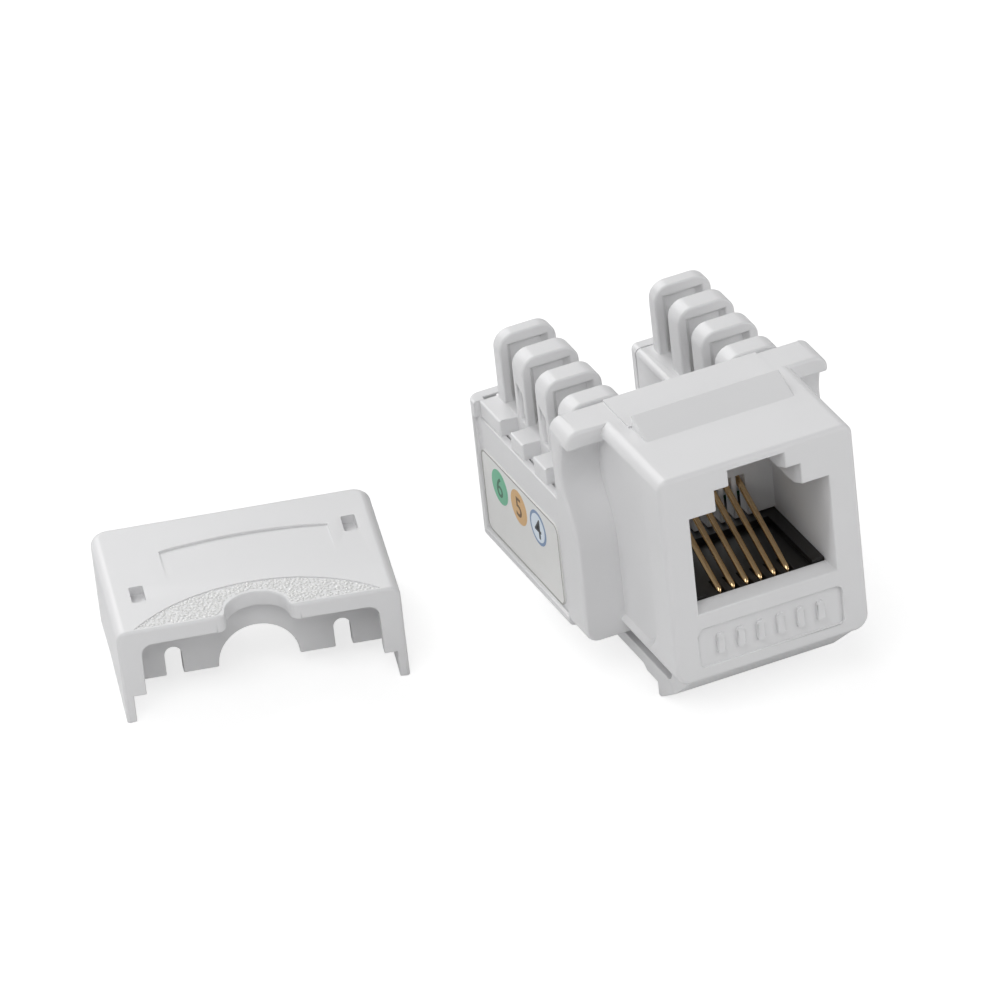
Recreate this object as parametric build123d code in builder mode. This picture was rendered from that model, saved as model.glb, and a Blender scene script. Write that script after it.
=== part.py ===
# Keystone jack: a six-contact plug port in front, a punch-down block on top at the back,
# and a loose cap for the block that lies beside it.
# Millimetres. Origin at the centre of the front face, +X right as the face is looked at,
# +Y to the rear, +Z up.
from build123d import *
from math import atan2, degrees, radians, tan
import os

os.makedirs("parts", exist_ok=True)

# Front face and the box behind it
face_width = 14.5
face_height = 16.2
face_corner_top = 0.8
face_corner_bottom = 1.1
face_edge_radius = 0.35
side_pocket_depth = 0.35
side_pocket_front = 3.2
side_pocket_bottom = 1.2
side_pocket_top = 1.3
side_pocket_corner = 2.6
side_pocket_top_corner = 0.8
side_pocket_edge_angle = 50

# Plug port: a wide main bay, a step above it and the notch for the plug's latch
port_half_width = 4.955
port_step_half_width = 2.95
port_notch_half_width = 1.86
port_floor = -2.6
port_main_ceiling = 4.4
port_step_ceiling = 6.0
port_notch_ceiling = 7.25
port_depth = 9.1
port_back_wall = 1.2
port_lead_in = 0.27
port_lead_in_depth = 0.9
port_sill_depth = 1.35

# Sunk panel under the port, with one raised bar for each contact
panel_width = 10.8
panel_bottom = -7.1
panel_top = -4.1
panel_depth = 0.22
panel_corner = 0.35
panel_bar_width = 0.55
panel_bar_height = 1.6
panel_bar_pitch = 1.5

# Flange with its finger recesses, moulded with the box
flange_margin = -0.05
flange_back = 12.0
flange_drop = 0.4
flange_corner = 1.0
flange_lip_front = 9.2
flange_lip_height = 1.35
flange_recess_front = 10.2
flange_recess_back = 10.9
flange_recess_middle = 4.4
flange_foot_front = 9.1
flange_foot_top = 9.5
flange_edge_radius = 0.25

# Hollow in the back of the flange, closed by the rear body
hollow_half_width = 6.3
hollow_wall_top = 1.1
hollow_wall_bottom = 1.2

# Fixed lug on the top
lug_half_width = 5.55
lug_front = 5.4
lug_back = 7.8
lug_height = 1.0
lug_edge_radius = 0.1
lug_plate_half_width = 5.75
lug_plate_height = 0.12

# Flexible latch under the box, moulded with it
latch_half_width = 6.05
latch_front = 0.3
latch_root_back = 3.8
latch_slot_height = 2.0
latch_arm_thickness = 1.0
latch_ramp_knee = 2.86
latch_nose_front = 5.6
latch_nose_height = 3.97
latch_catch_back = 6.6
latch_catch_tip = 0.35
latch_height = 4.35
latch_catch_base = 3.34
latch_heel_back = 8.85
latch_heel_run = 0.6
latch_tab_front = 20.0
latch_tab_length = 2.0
latch_tab_slope = 0.7

# Contact insert and its six spring wires
contact_count = 6
contact_pitch = 1.02
wire_diameter = 0.45
wire_bend_radius = 0.45
wire_front = 2.4
wire_bend_top = -3.1
wire_rise_angle = 25.6
wire_end = 10.05
wire_leg_height = 1.35
wire_tail = 13.6
wire_slot_width = 0.62
wire_slot_top = 0.95
insert_top = -2.4
insert_floor = 2.1
insert_rear_length = 2.6
insert_side_clearance = 0.05
insert_front_slot = 2.2
insert_field_half_width = 4.0
insert_field_depth = 0.5
insert_field_length = 6.9

# Rear body
body_width = 19.8
body_back = 26.9
body_side_wall = 0.9
body_rear_wall = 0.95
body_floor = 1.2
body_side_top = 1.35
body_rear_top = 2.6
body_post_depth = 1.3
body_corner = 0.9
body_bottom_radius = 0.45
body_edge_radius = 0.2
label_panel_depth = 0.3
label_panel_rear_rib = 1.0
label_panel_bottom_rib = 0.8
board_post_radius = 0.9
board_post_inset = 1.2
tongue_half_width = 5.5
tongue_reach = 1.4
tongue_thickness = 0.7
tongue_clearance = 0.1

# Punch-down block
block_clearance = 0.1
block_bottom = -2.2
trough_half_width = 2.6
trough_floor = -1.2
tooth_inset = 1.8
tooth_width = 4.35
tooth_top = 7.85
tooth_corner = 1.2
tooth_thickness = 1.75
tooth_rear_thickness = 1.1
tooth_pitch = 3.8
first_tooth_gap = 0.85
teeth_per_row = 4
tooth_ear_width = 0.65
tooth_recess_depth = 0.45
tooth_recess_top = 7.1
tooth_recess_taper = 40
tooth_edge_radius = 0.15
tooth_window_height = 2.9
tooth_window_slope = 0.6
tooth_window_front = 0.25
tooth_window_length = 1.0
tooth_window_depth = 0.35
pad_inset = 0.45
pad_edge_radius = 0.15
block_edge_radius = 0.45

# Insulation-displacement terminals
terminal_thickness = 0.5
terminal_seat = 0.25
terminal_top = 5.6
terminal_gap_width = 0.35
terminal_gap_bottom = 3.5
terminal_gap_mouth = 1.1
terminal_gap_mouth_depth = 0.7
terminal_stem_width = 0.8
terminal_tail = 1.0
terminal_clearance = 0.05

# Circuit board
board_thickness = 1.2
board_side_clearance = 0.15
board_hole_radius = 0.32

# Printed label on each side
label_front_margin = 0.9
label_rear_margin = 0.2
label_bottom_margin = 0.15
label_height = 6.5
label_thickness = 0.1
label_corner = 0.7

# Dust cap, in its own frame: open front at y = 0, tips of the front legs at z = 0
cap_depth = 14.9
cap_height = 7.1
cap_top_thickness = 1.2
cap_side_wall = 0.7
cap_rear_corner = 1.3
cap_top_radius = 0.7
cap_front_edge_radius = 0.25
cap_front_depth = 0.9
cap_leg_width = 1.6
cap_leg_tip_height = 2.0
cap_opening_corner = 0.8
cap_side_bottom = 0.85
cap_side_knee = 8.3
cap_side_rear_bottom = 0.3
cap_cable_notch_radius = 2.2
cap_cable_notch_middle = 0.6
cap_cable_notch_corner = 0.8
cap_overhang = 0.2
cap_rib_bottom = 1.2
cap_rib_thickness = 0.9
cap_rib_slot_width = 1.2
cap_rib_slot_height = 2.2
cap_rib_cable_radius = 2.85
cap_pocket_length = 2.2
cap_pocket_width = 1.0
cap_pocket_depth = 0.7
cap_pocket_offset = 7.8
cap_pocket_shift = 0.1
cap_pocket_middle = 7.4
cap_pocket_stagger = 2.4
cap_pocket_corner = 0.2
cap_panel_half_width = 5.95
cap_panel_offset = 0.45
cap_panel_front = 6.05
cap_panel_back = 10.3
cap_panel_bulge = 0.7
cap_panel_depth = 0.18
cap_grip_half_width = 8.6
cap_grip_front = 0.3
cap_grip_reach = 3.9
cap_grip_depth = 0.08
cap_x = -29.1
cap_y = 20.8
cap_yaw = -14.6

# Two places nearer than this are the same place
touching = 0.01

# Heights and places that follow from the sizes above
top = face_height / 2
bottom = -face_height / 2
ground = bottom - latch_height
insert_bottom = bottom + insert_floor
wire_fixed_leg = insert_bottom + wire_leg_height
body_bottom = bottom - flange_drop
flange_width = body_width + 2 * flange_margin
hollow_bottom = bottom + hollow_wall_bottom
hollow_top = top - hollow_wall_top
board_top = block_bottom
board_bottom = board_top - board_thickness
block_front = flange_back + block_clearance
block_back = body_back - body_rear_wall - block_clearance
block_half_width = body_width / 2 - body_side_wall - block_clearance
insert_half_width = port_half_width - insert_side_clearance
tooth_outer = body_width / 2 - tooth_inset
tooth_inner = tooth_outer - tooth_width
tooth_middle = (tooth_inner + tooth_outer) / 2
pad_reach = body_width / 2 - pad_inset
cap_width = body_width
contact_places = [(i - (contact_count - 1) / 2) * contact_pitch for i in range(contact_count)]


def cross_section(y):
    """Plane across the jack at y: its x is +X and its y is +Z."""
    return Plane.XZ.offset(-y)


def side_section(x):
    """Plane along the jack at x: its x is +Y and its y is +Z."""
    return Plane.YZ.offset(x)


def tooth_span(index):
    """Front and back of one tooth, counted from the flange; the last one is thinner."""
    front = flange_back + first_tooth_gap + index * tooth_pitch
    thickness = tooth_rear_thickness if index == teeth_per_row - 1 else tooth_thickness
    return front, front + thickness


def slot_span(index):
    """Front and back of the wire slot behind one tooth."""
    return tooth_span(index)[1], tooth_span(index + 1)[0]


slot_count = teeth_per_row - 1
slot_middles = [sum(slot_span(i)) / 2 for i in range(slot_count)]

# Flange: one side profile, cut to the rounded outline of the wings
with BuildPart() as flange_blank:
    with BuildSketch(Plane.YZ):
        with BuildLine():
            lip_bottom = top - flange_lip_height
            Line((flange_back, top), (flange_lip_front, top))
            Line((flange_lip_front, top), (flange_lip_front, lip_bottom))
            Line((flange_lip_front, lip_bottom), (flange_recess_front, lip_bottom))
            Spline(
                (flange_recess_front, lip_bottom),
                (flange_recess_back, top - flange_recess_middle),
                (flange_foot_front, top - flange_foot_top),
                tangents=[(0.5, -1), (0, -1)],
            )
            Line((flange_foot_front, top - flange_foot_top), (flange_foot_front, bottom - flange_drop))
            Line((flange_foot_front, bottom - flange_drop), (flange_back, bottom - flange_drop))
            Line((flange_back, bottom - flange_drop), (flange_back, top))
        make_face()
    extrude(amount=flange_width / 2, both=True)

# Round corners on the wings, then soft edges round their front and along the lip
corner_edges = flange_blank.edges().filter_by(Axis.Y).group_by(Axis.Z)
wings = flange_blank.part.fillet(flange_corner, corner_edges[0] + corner_edges[-1])
front_edges = wings.edges().filter_by(lambda edge: edge.center().Y < flange_back - flange_edge_radius)
wing_edges = front_edges.filter_by(lambda edge: abs(edge.center().X) > face_width / 2)
lip_edges = front_edges.filter_by(
    lambda edge: abs(edge.center().X) < touching and edge.center().Z > lip_bottom - touching
).filter_by(lambda edge: edge.center().Y < flange_lip_front + touching)
wings = wings.fillet(flange_edge_radius, wing_edges + lip_edges)

# Front housing: box, flange, lug and latch in one moulding
with BuildPart() as front_housing:
    with BuildSketch(cross_section(0)) as face_outline:
        Rectangle(face_width, face_height)
        fillet(face_outline.vertices().group_by(Axis.Y)[-1], face_corner_top)
        fillet(face_outline.vertices().group_by(Axis.Y)[0], face_corner_bottom)
    extrude(amount=-flange_back)
    fillet(front_housing.faces().sort_by(Axis.Y)[0].edges(), face_edge_radius)

    # Soft pocket in each side, from the thumb flat to the flange
    for side in (-1, 1):
        with BuildSketch(side_section(side * (face_width / 2 - side_pocket_depth))) as pocket:
            with Locations((side_pocket_front, bottom + side_pocket_bottom)):
                pocket_height = face_height - side_pocket_bottom - side_pocket_top
                Rectangle(flange_back, pocket_height, align=(Align.MIN, Align.MIN))
            fillet(pocket.vertices().group_by(Axis.X)[0].sort_by(Axis.Y)[0], side_pocket_corner)
            fillet(pocket.vertices().group_by(Axis.Y)[-1].sort_by(Axis.X)[0], side_pocket_top_corner)
        extrude(amount=side * face_width, taper=-side_pocket_edge_angle, mode=Mode.SUBTRACT)
    add(wings)

    # Fixed lug and the thin plate behind it
    with BuildSketch(Plane.YZ):
        with BuildLine():
            Polyline((lug_front, top), (lug_back, top + lug_height), (lug_back, top), close=True)
        make_face()
    lug = extrude(amount=lug_half_width, both=True)
    fillet(lug.edges().filter_by(lambda edge: edge.center().Z > top + touching), lug_edge_radius)
    with BuildSketch(Plane.XY.offset(top)):
        with Locations((0, (lug_back + flange_back) / 2)):
            Rectangle(2 * lug_plate_half_width, flange_back - lug_back)
    extrude(amount=lug_plate_height)

    # Flexible latch: ramp and catch under the box, arm to the rear, thumb tab at its end
    arm_top = bottom - latch_slot_height
    arm_bottom = arm_top - latch_arm_thickness
    gap_radius = latch_slot_height / 2
    with BuildSketch(Plane.YZ):
        with BuildLine():
            tab_back = latch_tab_front + latch_tab_length
            Polyline(
                (latch_root_back + gap_radius, bottom),
                (latch_front, bottom),
                (latch_root_back, bottom - latch_ramp_knee),
                (latch_nose_front, bottom - latch_nose_height),
                (latch_catch_back - latch_catch_tip, ground),
                (latch_catch_back, ground),
                (latch_catch_back, bottom - latch_catch_base),
                (latch_heel_back - latch_heel_run, bottom - latch_catch_base),
                (latch_heel_back, arm_bottom),
                (latch_tab_front - latch_tab_slope, arm_bottom),
                (latch_tab_front, ground),
                (tab_back, ground),
                (tab_back, arm_top),
                (latch_root_back + gap_radius, arm_top),
            )
            ThreePointArc(
                (latch_root_back + gap_radius, arm_top),
                (latch_root_back, arm_top + gap_radius),
                (latch_root_back + gap_radius, bottom),
            )
        make_face()
    extrude(amount=latch_half_width, both=True)

    # Plug port with its lead-in chamfer
    port_outline = [
        (-port_half_width, port_floor),
        (port_half_width, port_floor),
        (port_half_width, port_main_ceiling),
        (port_step_half_width, port_main_ceiling),
        (port_step_half_width, port_step_ceiling),
        (port_notch_half_width, port_step_ceiling),
        (port_notch_half_width, port_notch_ceiling),
        (-port_notch_half_width, port_notch_ceiling),
        (-port_notch_half_width, port_step_ceiling),
        (-port_step_half_width, port_step_ceiling),
        (-port_step_half_width, port_main_ceiling),
        (-port_half_width, port_main_ceiling),
    ]
    with BuildSketch(cross_section(0)):
        Polygon(*port_outline, align=None)
        offset(amount=port_lead_in, kind=Kind.INTERSECTION)
    with BuildSketch(cross_section(port_lead_in_depth)) as port_throat:
        Polygon(*port_outline, align=None)
    loft(mode=Mode.SUBTRACT)
    extrude(port_throat.sketch, amount=-(port_depth - port_lead_in_depth), mode=Mode.SUBTRACT)

    # Tunnel for the contact insert, behind the sill and under the port
    with BuildSketch(cross_section(port_sill_depth)):
        with Locations((0, insert_bottom)):
            tunnel_height = insert_top + insert_side_clearance - insert_bottom
            Rectangle(2 * port_half_width, tunnel_height, align=(Align.CENTER, Align.MIN))
    extrude(amount=-(flange_back - port_sill_depth), mode=Mode.SUBTRACT)

    # Slots in the port's back wall, where the free ends of the wires ride
    with BuildSketch(cross_section(port_depth)):
        for x in contact_places:
            with Locations((x, port_floor)):
                Rectangle(wire_slot_width, wire_slot_top - port_floor, align=(Align.CENTER, Align.MIN))
    extrude(amount=-port_back_wall, mode=Mode.SUBTRACT)

    # Hollow behind that wall
    with BuildSketch(cross_section(port_depth + port_back_wall)):
        with Locations((0, (hollow_bottom + hollow_top) / 2)):
            Rectangle(2 * hollow_half_width, hollow_top - hollow_bottom)
    extrude(amount=-(flange_back - port_depth - port_back_wall), mode=Mode.SUBTRACT)

    # Sunk panel with a bar for each contact
    panel_middle = (panel_bottom + panel_top) / 2
    with BuildSketch(cross_section(0)):
        with Locations((0, panel_middle)):
            RectangleRounded(panel_width, panel_top - panel_bottom, panel_corner)
            with GridLocations(panel_bar_pitch, 1, contact_count, 1):
                SlotOverall(panel_bar_height, panel_bar_width, rotation=90, mode=Mode.SUBTRACT)
    extrude(amount=-panel_depth, mode=Mode.SUBTRACT)
front_housing.part.label = "front_housing"
export_step(front_housing.part, "parts/front_housing.step")

# Contact insert: a black slab in the port's floor, sunk and slotted for the wires
with BuildPart() as contact_insert:
    insert_front = port_sill_depth + insert_side_clearance
    insert_back = flange_back + insert_rear_length
    with BuildSketch(Plane.YZ):
        with BuildLine():
            Polyline(
                (insert_front, insert_bottom),
                (insert_back, insert_bottom),
                (insert_back, board_bottom),
                (flange_back, board_bottom),
                (flange_back, insert_top),
                (insert_front, insert_top),
                close=True,
            )
        make_face()
    extrude(amount=insert_half_width, both=True)
    # Sunk field under the rising wires
    with BuildSketch(Plane.XY.offset(insert_top)):
        with Locations((0, insert_front)):
            Rectangle(2 * insert_field_half_width, insert_field_length, align=(Align.CENTER, Align.MIN))
    extrude(amount=-insert_field_depth, mode=Mode.SUBTRACT)
    groove_width = wire_diameter + 2 * insert_side_clearance
    groove_top = wire_fixed_leg + groove_width / 2
    for x in contact_places:
        # Groove for the fixed leg, open at the bottom
        with BuildSketch(Plane.XY.offset(insert_bottom)):
            with Locations((x, insert_front)):
                Rectangle(groove_width, insert_back - insert_front, align=(Align.CENTER, Align.MIN))
        extrude(amount=groove_top - insert_bottom, mode=Mode.SUBTRACT)
        # Slot through the slab, where the wire turns back over it
        with BuildSketch(Plane.XY.offset(insert_bottom)):
            with Locations((x, insert_front)):
                Rectangle(groove_width, insert_front_slot, align=(Align.CENTER, Align.MIN))
            with Locations((x, wire_tail - groove_width / 2)):
                Rectangle(groove_width, insert_back - wire_tail, align=(Align.CENTER, Align.MIN))
        extrude(amount=insert_top - insert_bottom, mode=Mode.SUBTRACT)
contact_insert.part.label = "contact_insert"
export_step(contact_insert.part, "parts/contact_insert.step")


def contact_wire(x):
    """One spring wire: tail in the board, fixed leg, tight front bend and rising free leg."""
    wire_end_height = wire_bend_top + (wire_end - wire_front) * tan(radians(wire_rise_angle))
    with BuildPart() as wire:
        with BuildLine(side_section(x)) as path:
            FilletPolyline(
                (wire_tail, board_top),
                (wire_tail, wire_fixed_leg),
                (wire_front, wire_fixed_leg),
                (wire_front, wire_bend_top),
                (wire_end, wire_end_height),
                radius=wire_bend_radius,
            )
        with BuildSketch(Plane.XY.offset(board_top)):
            with Locations((x, wire_tail)):
                Circle(wire_diameter / 2)
        sweep(path=path.wires()[0])
    return wire.part


for number, x in enumerate(contact_places, start=1):
    spring_wire = contact_wire(x)
    spring_wire.label = f"contact_wire_{number}"
    export_step(spring_wire, f"parts/contact_wire_{number}.step")

# Rear body: an open tray that closes the back of the housing and carries the block
with BuildPart() as rear_body:
    with BuildSketch(Plane.YZ):
        with BuildLine():
            Polyline(
                (flange_back, body_bottom),
                (body_back, body_bottom),
                (body_back, body_rear_top),
                (body_back - body_post_depth, body_rear_top),
                (body_back - body_post_depth, body_side_top),
                (flange_back, body_side_top),
                close=True,
            )
        make_face()
    extrude(amount=body_width / 2, both=True)
    rear_face = rear_body.faces().sort_by(Axis.Y)[-1]
    fillet(rear_face.edges().filter_by(Axis.Z), body_corner)
    fillet(rear_body.faces().sort_by(Axis.Z)[0].edges().sort_by(Axis.Y)[1:], body_bottom_radius)
    post_top = rear_body.faces().sort_by(Axis.Z)[-1]
    fillet(post_top.edges().sort_by(Axis.Y)[1:], body_edge_radius)

    # Inside of the tray
    inner_width = body_width - 2 * body_side_wall
    tray_floor = body_bottom + body_floor
    with BuildSketch(Plane.XY.offset(tray_floor)):
        with Locations((0, flange_back)):
            Rectangle(
                inner_width,
                body_back - body_rear_wall - flange_back,
                align=(Align.CENTER, Align.MIN),
            )
    extrude(amount=face_height, mode=Mode.SUBTRACT)

    # Way out for the cable, between the two rows
    with BuildSketch(cross_section(body_back)):
        with Locations((0, trough_floor)):
            Rectangle(2 * trough_half_width, face_height, align=(Align.CENTER, Align.MIN))
    extrude(amount=2 * body_rear_wall, mode=Mode.SUBTRACT)
    trough_edges = rear_body.edges().filter_by(Axis.Y).group_by(Axis.Z)[-1]
    fillet(trough_edges.sort_by(lambda edge: abs(edge.center().X))[:2], block_edge_radius)

    # Sunk panel for the label on each side
    panel_low = body_bottom + label_panel_bottom_rib
    for side in (-1, 1):
        with BuildSketch(side_section(side * (body_width / 2 - label_panel_depth))):
            with Locations((flange_back, panel_low)):
                Rectangle(
                    body_back - label_panel_rear_rib - flange_back,
                    body_side_top - panel_low,
                    align=(Align.MIN, Align.MIN),
                )
        extrude(amount=side * body_width, mode=Mode.SUBTRACT)

    # Posts under the board
    post_x = inner_width / 2 - board_post_inset
    post_rows = (flange_back + board_post_inset + board_post_radius, block_back - board_post_inset)
    with BuildSketch(Plane.XY.offset(tray_floor)):
        with Locations(*[(side * post_x, y) for side in (-1, 1) for y in post_rows]):
            Circle(board_post_radius)
    extrude(amount=board_bottom - tray_floor)

    # Tongue that finds the hollow of the front housing
    with BuildSketch(Plane.YZ):
        with BuildLine():
            tongue_low = hollow_bottom + tongue_clearance
            Polyline(
                (flange_back - tongue_reach, tongue_low),
                (flange_back, tongue_low),
                (flange_back, tray_floor),
                (flange_back + tongue_reach, tray_floor),
                (flange_back + tongue_reach, tongue_low + tongue_thickness),
                (flange_back - tongue_reach, tongue_low + tongue_thickness),
                close=True,
            )
        make_face()
    extrude(amount=tongue_half_width, both=True)
rear_body.part.label = "rear_body"
export_step(rear_body.part, "parts/rear_body.step")


# Circuit board between the insert, the posts and the block
with BuildPart() as circuit_board:
    board_front = block_front + board_side_clearance
    board_back = block_back - board_side_clearance
    board_width = 2 * (block_half_width - board_side_clearance)
    with BuildSketch(Plane.XY.offset(board_bottom)):
        with Locations((0, (board_front + board_back) / 2)):
            Rectangle(board_width, board_back - board_front)
        with Locations(*[(x, wire_tail) for x in contact_places]):
            Circle(board_hole_radius, mode=Mode.SUBTRACT)
        with Locations(*[(side * tooth_middle, y) for side in (-1, 1) for y in slot_middles]):
            Rectangle(
                terminal_thickness + 2 * terminal_clearance,
                terminal_stem_width + 2 * terminal_clearance,
                mode=Mode.SUBTRACT,
            )
    extrude(amount=board_thickness)
circuit_board.part.label = "circuit_board"
export_step(circuit_board.part, "parts/circuit_board.step")


def tooth_row(side):
    """Four teeth of one row, with their recesses, chamfers and windows."""
    with BuildPart() as row:
        for index in range(teeth_per_row):
            front, back = tooth_span(index)
            with BuildSketch(cross_section(front)) as outline:
                with Locations((side * tooth_middle, body_rear_top)):
                    Rectangle(
                        tooth_outer - tooth_inner,
                        tooth_top - body_rear_top,
                        align=(Align.CENTER, Align.MIN),
                    )
                fillet(outline.vertices().group_by(Axis.Y)[-1], tooth_corner)
            tooth = extrude(amount=-(back - front))
            rims = tooth.faces().filter_by(Axis.Y).edges()
            fillet(rims.filter_by(lambda edge: edge.center().Z > body_rear_top), tooth_edge_radius)
            # Sunk middle of the front, with sloping sides and top
            if index > 0:
                half_recess = (tooth_outer - tooth_inner) / 2 - tooth_ear_width
                with BuildSketch(cross_section(front)):
                    with Locations((side * tooth_middle, tooth_recess_top)):
                        Rectangle(2 * half_recess, tooth_recess_top, align=(Align.CENTER, Align.MAX))
                extrude(amount=-tooth_recess_depth, taper=tooth_recess_taper, mode=Mode.SUBTRACT)
            # Groove in the back for the front prong of the terminal
            if index < slot_count:
                with BuildSketch(Plane.XY.offset(body_rear_top)):
                    with Locations((side * tooth_middle, back)):
                        Rectangle(
                            terminal_thickness + 2 * terminal_clearance,
                            2 * (terminal_seat + terminal_clearance),
                        )
                extrude(amount=terminal_top + terminal_clearance - body_rear_top, mode=Mode.SUBTRACT)
            # Window with a sloping top in the outer side of the two middle teeth
            if 0 < index < slot_count:
                window_front = front + tooth_window_front
                window_back = window_front + tooth_window_length
                window_top = body_rear_top + tooth_window_height
                with BuildSketch(side_section(side * (tooth_outer - tooth_window_depth))):
                    Polygon(
                        (window_front, body_rear_top),
                        (window_back, body_rear_top),
                        (window_back, window_top),
                        (window_front, window_top - tooth_window_slope),
                        align=None,
                    )
                extrude(amount=side * tooth_window_depth, mode=Mode.SUBTRACT)
    return row.part


# Punch-down block: floor, two ledges, pads over the side walls and two rows of teeth
with BuildPart() as idc_block:
    with BuildSketch(cross_section(block_front)) as block_section:
        with BuildLine():
            Polyline(
                (-block_half_width, block_bottom),
                (block_half_width, block_bottom),
                (block_half_width, body_side_top),
                (tooth_outer, body_side_top),
                (tooth_outer, body_rear_top),
                (trough_half_width, body_rear_top),
                (trough_half_width, trough_floor),
                (-trough_half_width, trough_floor),
                (-trough_half_width, body_rear_top),
                (-tooth_outer, body_rear_top),
                (-tooth_outer, body_side_top),
                (-block_half_width, body_side_top),
                close=True,
            )
        make_face()
        ledge_corners = block_section.vertices().group_by(Axis.Y)[-1].sort_by(Axis.X)[1:3]
        fillet(ledge_corners, block_edge_radius)
    extrude(amount=-(block_back - block_front))
    for side in (-1, 1):
        for index in range(slot_count):
            pad_front, pad_back = slot_span(index)
            if index == slot_count - 1:
                pad_back = body_back - body_post_depth
            pad_middle = side * (tooth_outer + pad_reach) / 2
            with BuildSketch(Plane.XY.offset(body_side_top)):
                with Locations((pad_middle, (pad_front + pad_back) / 2)):
                    Rectangle(pad_reach - tooth_outer, pad_back - pad_front)
            extrude(amount=body_rear_top - body_side_top)
        outer_faces = idc_block.faces().filter_by(Axis.X).filter_by(
            lambda face: abs(face.center().X - side * pad_reach) < pad_edge_radius
        )
        fillet(outer_faces.edges().filter_by(lambda edge: edge.center().Z > body_side_top), pad_edge_radius)
        add(tooth_row(side))
    # Holes for the terminals' stems
    with BuildSketch(Plane.XY.offset(block_bottom)):
        with Locations(*[(side * tooth_middle, y) for side in (-1, 1) for y in slot_middles]):
            Rectangle(
                terminal_thickness + 2 * terminal_clearance,
                terminal_stem_width + 2 * terminal_clearance,
            )
    extrude(amount=body_rear_top - block_bottom, mode=Mode.SUBTRACT)
idc_block.part.label = "idc_block"
export_step(idc_block.part, "parts/idc_block.step")


def idc_terminal(side, index):
    """One stamped fork, standing across its wire slot, with a stem into the board."""
    slot_front, slot_back = slot_span(index)
    half_width = (slot_back - slot_front) / 2 + terminal_seat
    half_stem = terminal_stem_width / 2
    half_gap = terminal_gap_width / 2
    half_mouth = terminal_gap_mouth / 2
    with BuildPart() as terminal:
        with BuildSketch(side_section(side * tooth_middle)):
            with Locations((slot_middles[index], body_rear_top)):
                Rectangle(2 * half_width, terminal_top - body_rear_top, align=(Align.CENTER, Align.MIN))
            with Locations((slot_middles[index], board_bottom - terminal_tail)):
                Rectangle(
                    2 * half_stem,
                    body_rear_top - board_bottom + terminal_tail,
                    align=(Align.CENTER, Align.MIN),
                )
            with Locations((slot_middles[index], terminal_gap_bottom)):
                Polygon(
                    (-half_gap, 0),
                    (half_gap, 0),
                    (half_gap, terminal_top - terminal_gap_bottom - terminal_gap_mouth_depth),
                    (half_mouth, terminal_top - terminal_gap_bottom),
                    (-half_mouth, terminal_top - terminal_gap_bottom),
                    (-half_gap, terminal_top - terminal_gap_bottom - terminal_gap_mouth_depth),
                    align=None,
                    mode=Mode.SUBTRACT,
                )
        extrude(amount=terminal_thickness / 2, both=True)
    return terminal.part


for row, side in enumerate((-1, 1)):
    for index in range(slot_count):
        fork = idc_terminal(side, index)
        fork.label = f"idc_terminal_{1 + index + row * slot_count}"
        export_step(fork, f"parts/{fork.label}.step")


# Labels on the two sunk side panels
label_front = flange_back + label_front_margin
label_back = body_back - label_panel_rear_rib - label_rear_margin
label_middle = panel_low + label_bottom_margin + label_height / 2
for side, node_name in ((-1, "label_left"), (1, "label_right")):
    with BuildPart() as label:
        with BuildSketch(side_section(side * (body_width / 2 - label_panel_depth))):
            with Locations(((label_front + label_back) / 2, label_middle)):
                RectangleRounded(label_back - label_front, label_height, label_corner)
        extrude(amount=side * label_thickness)
    label.part.label = node_name
    export_step(label.part, f"parts/{node_name}.step")


# Shallow panel of the cap's top, deepening from its front to its arched rear edge
with BuildPart() as cap_panel:
    panel_left = cap_panel_offset - cap_panel_half_width
    panel_right = cap_panel_offset + cap_panel_half_width
    panel_reach = cap_panel_back + cap_panel_bulge
    with BuildSketch(Plane.XY.offset(cap_height - cap_panel_depth)):
        with BuildLine():
            Polyline(
                (panel_left, cap_panel_back),
                (panel_left, cap_panel_front),
                (panel_right, cap_panel_front),
                (panel_right, cap_panel_back),
            )
            ThreePointArc(
                (panel_right, cap_panel_back),
                (cap_panel_offset, panel_reach),
                (panel_left, cap_panel_back),
            )
        make_face()
    extrude(amount=2 * cap_panel_depth)
    with BuildSketch(Plane.YZ):
        Polygon(
            (cap_panel_front, cap_height),
            (panel_reach, cap_height - cap_panel_depth),
            (panel_reach, cap_height + cap_panel_depth),
            (cap_panel_front, cap_height + cap_panel_depth),
            align=None,
        )
    extrude(amount=cap_width, both=True, mode=Mode.INTERSECT)

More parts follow.
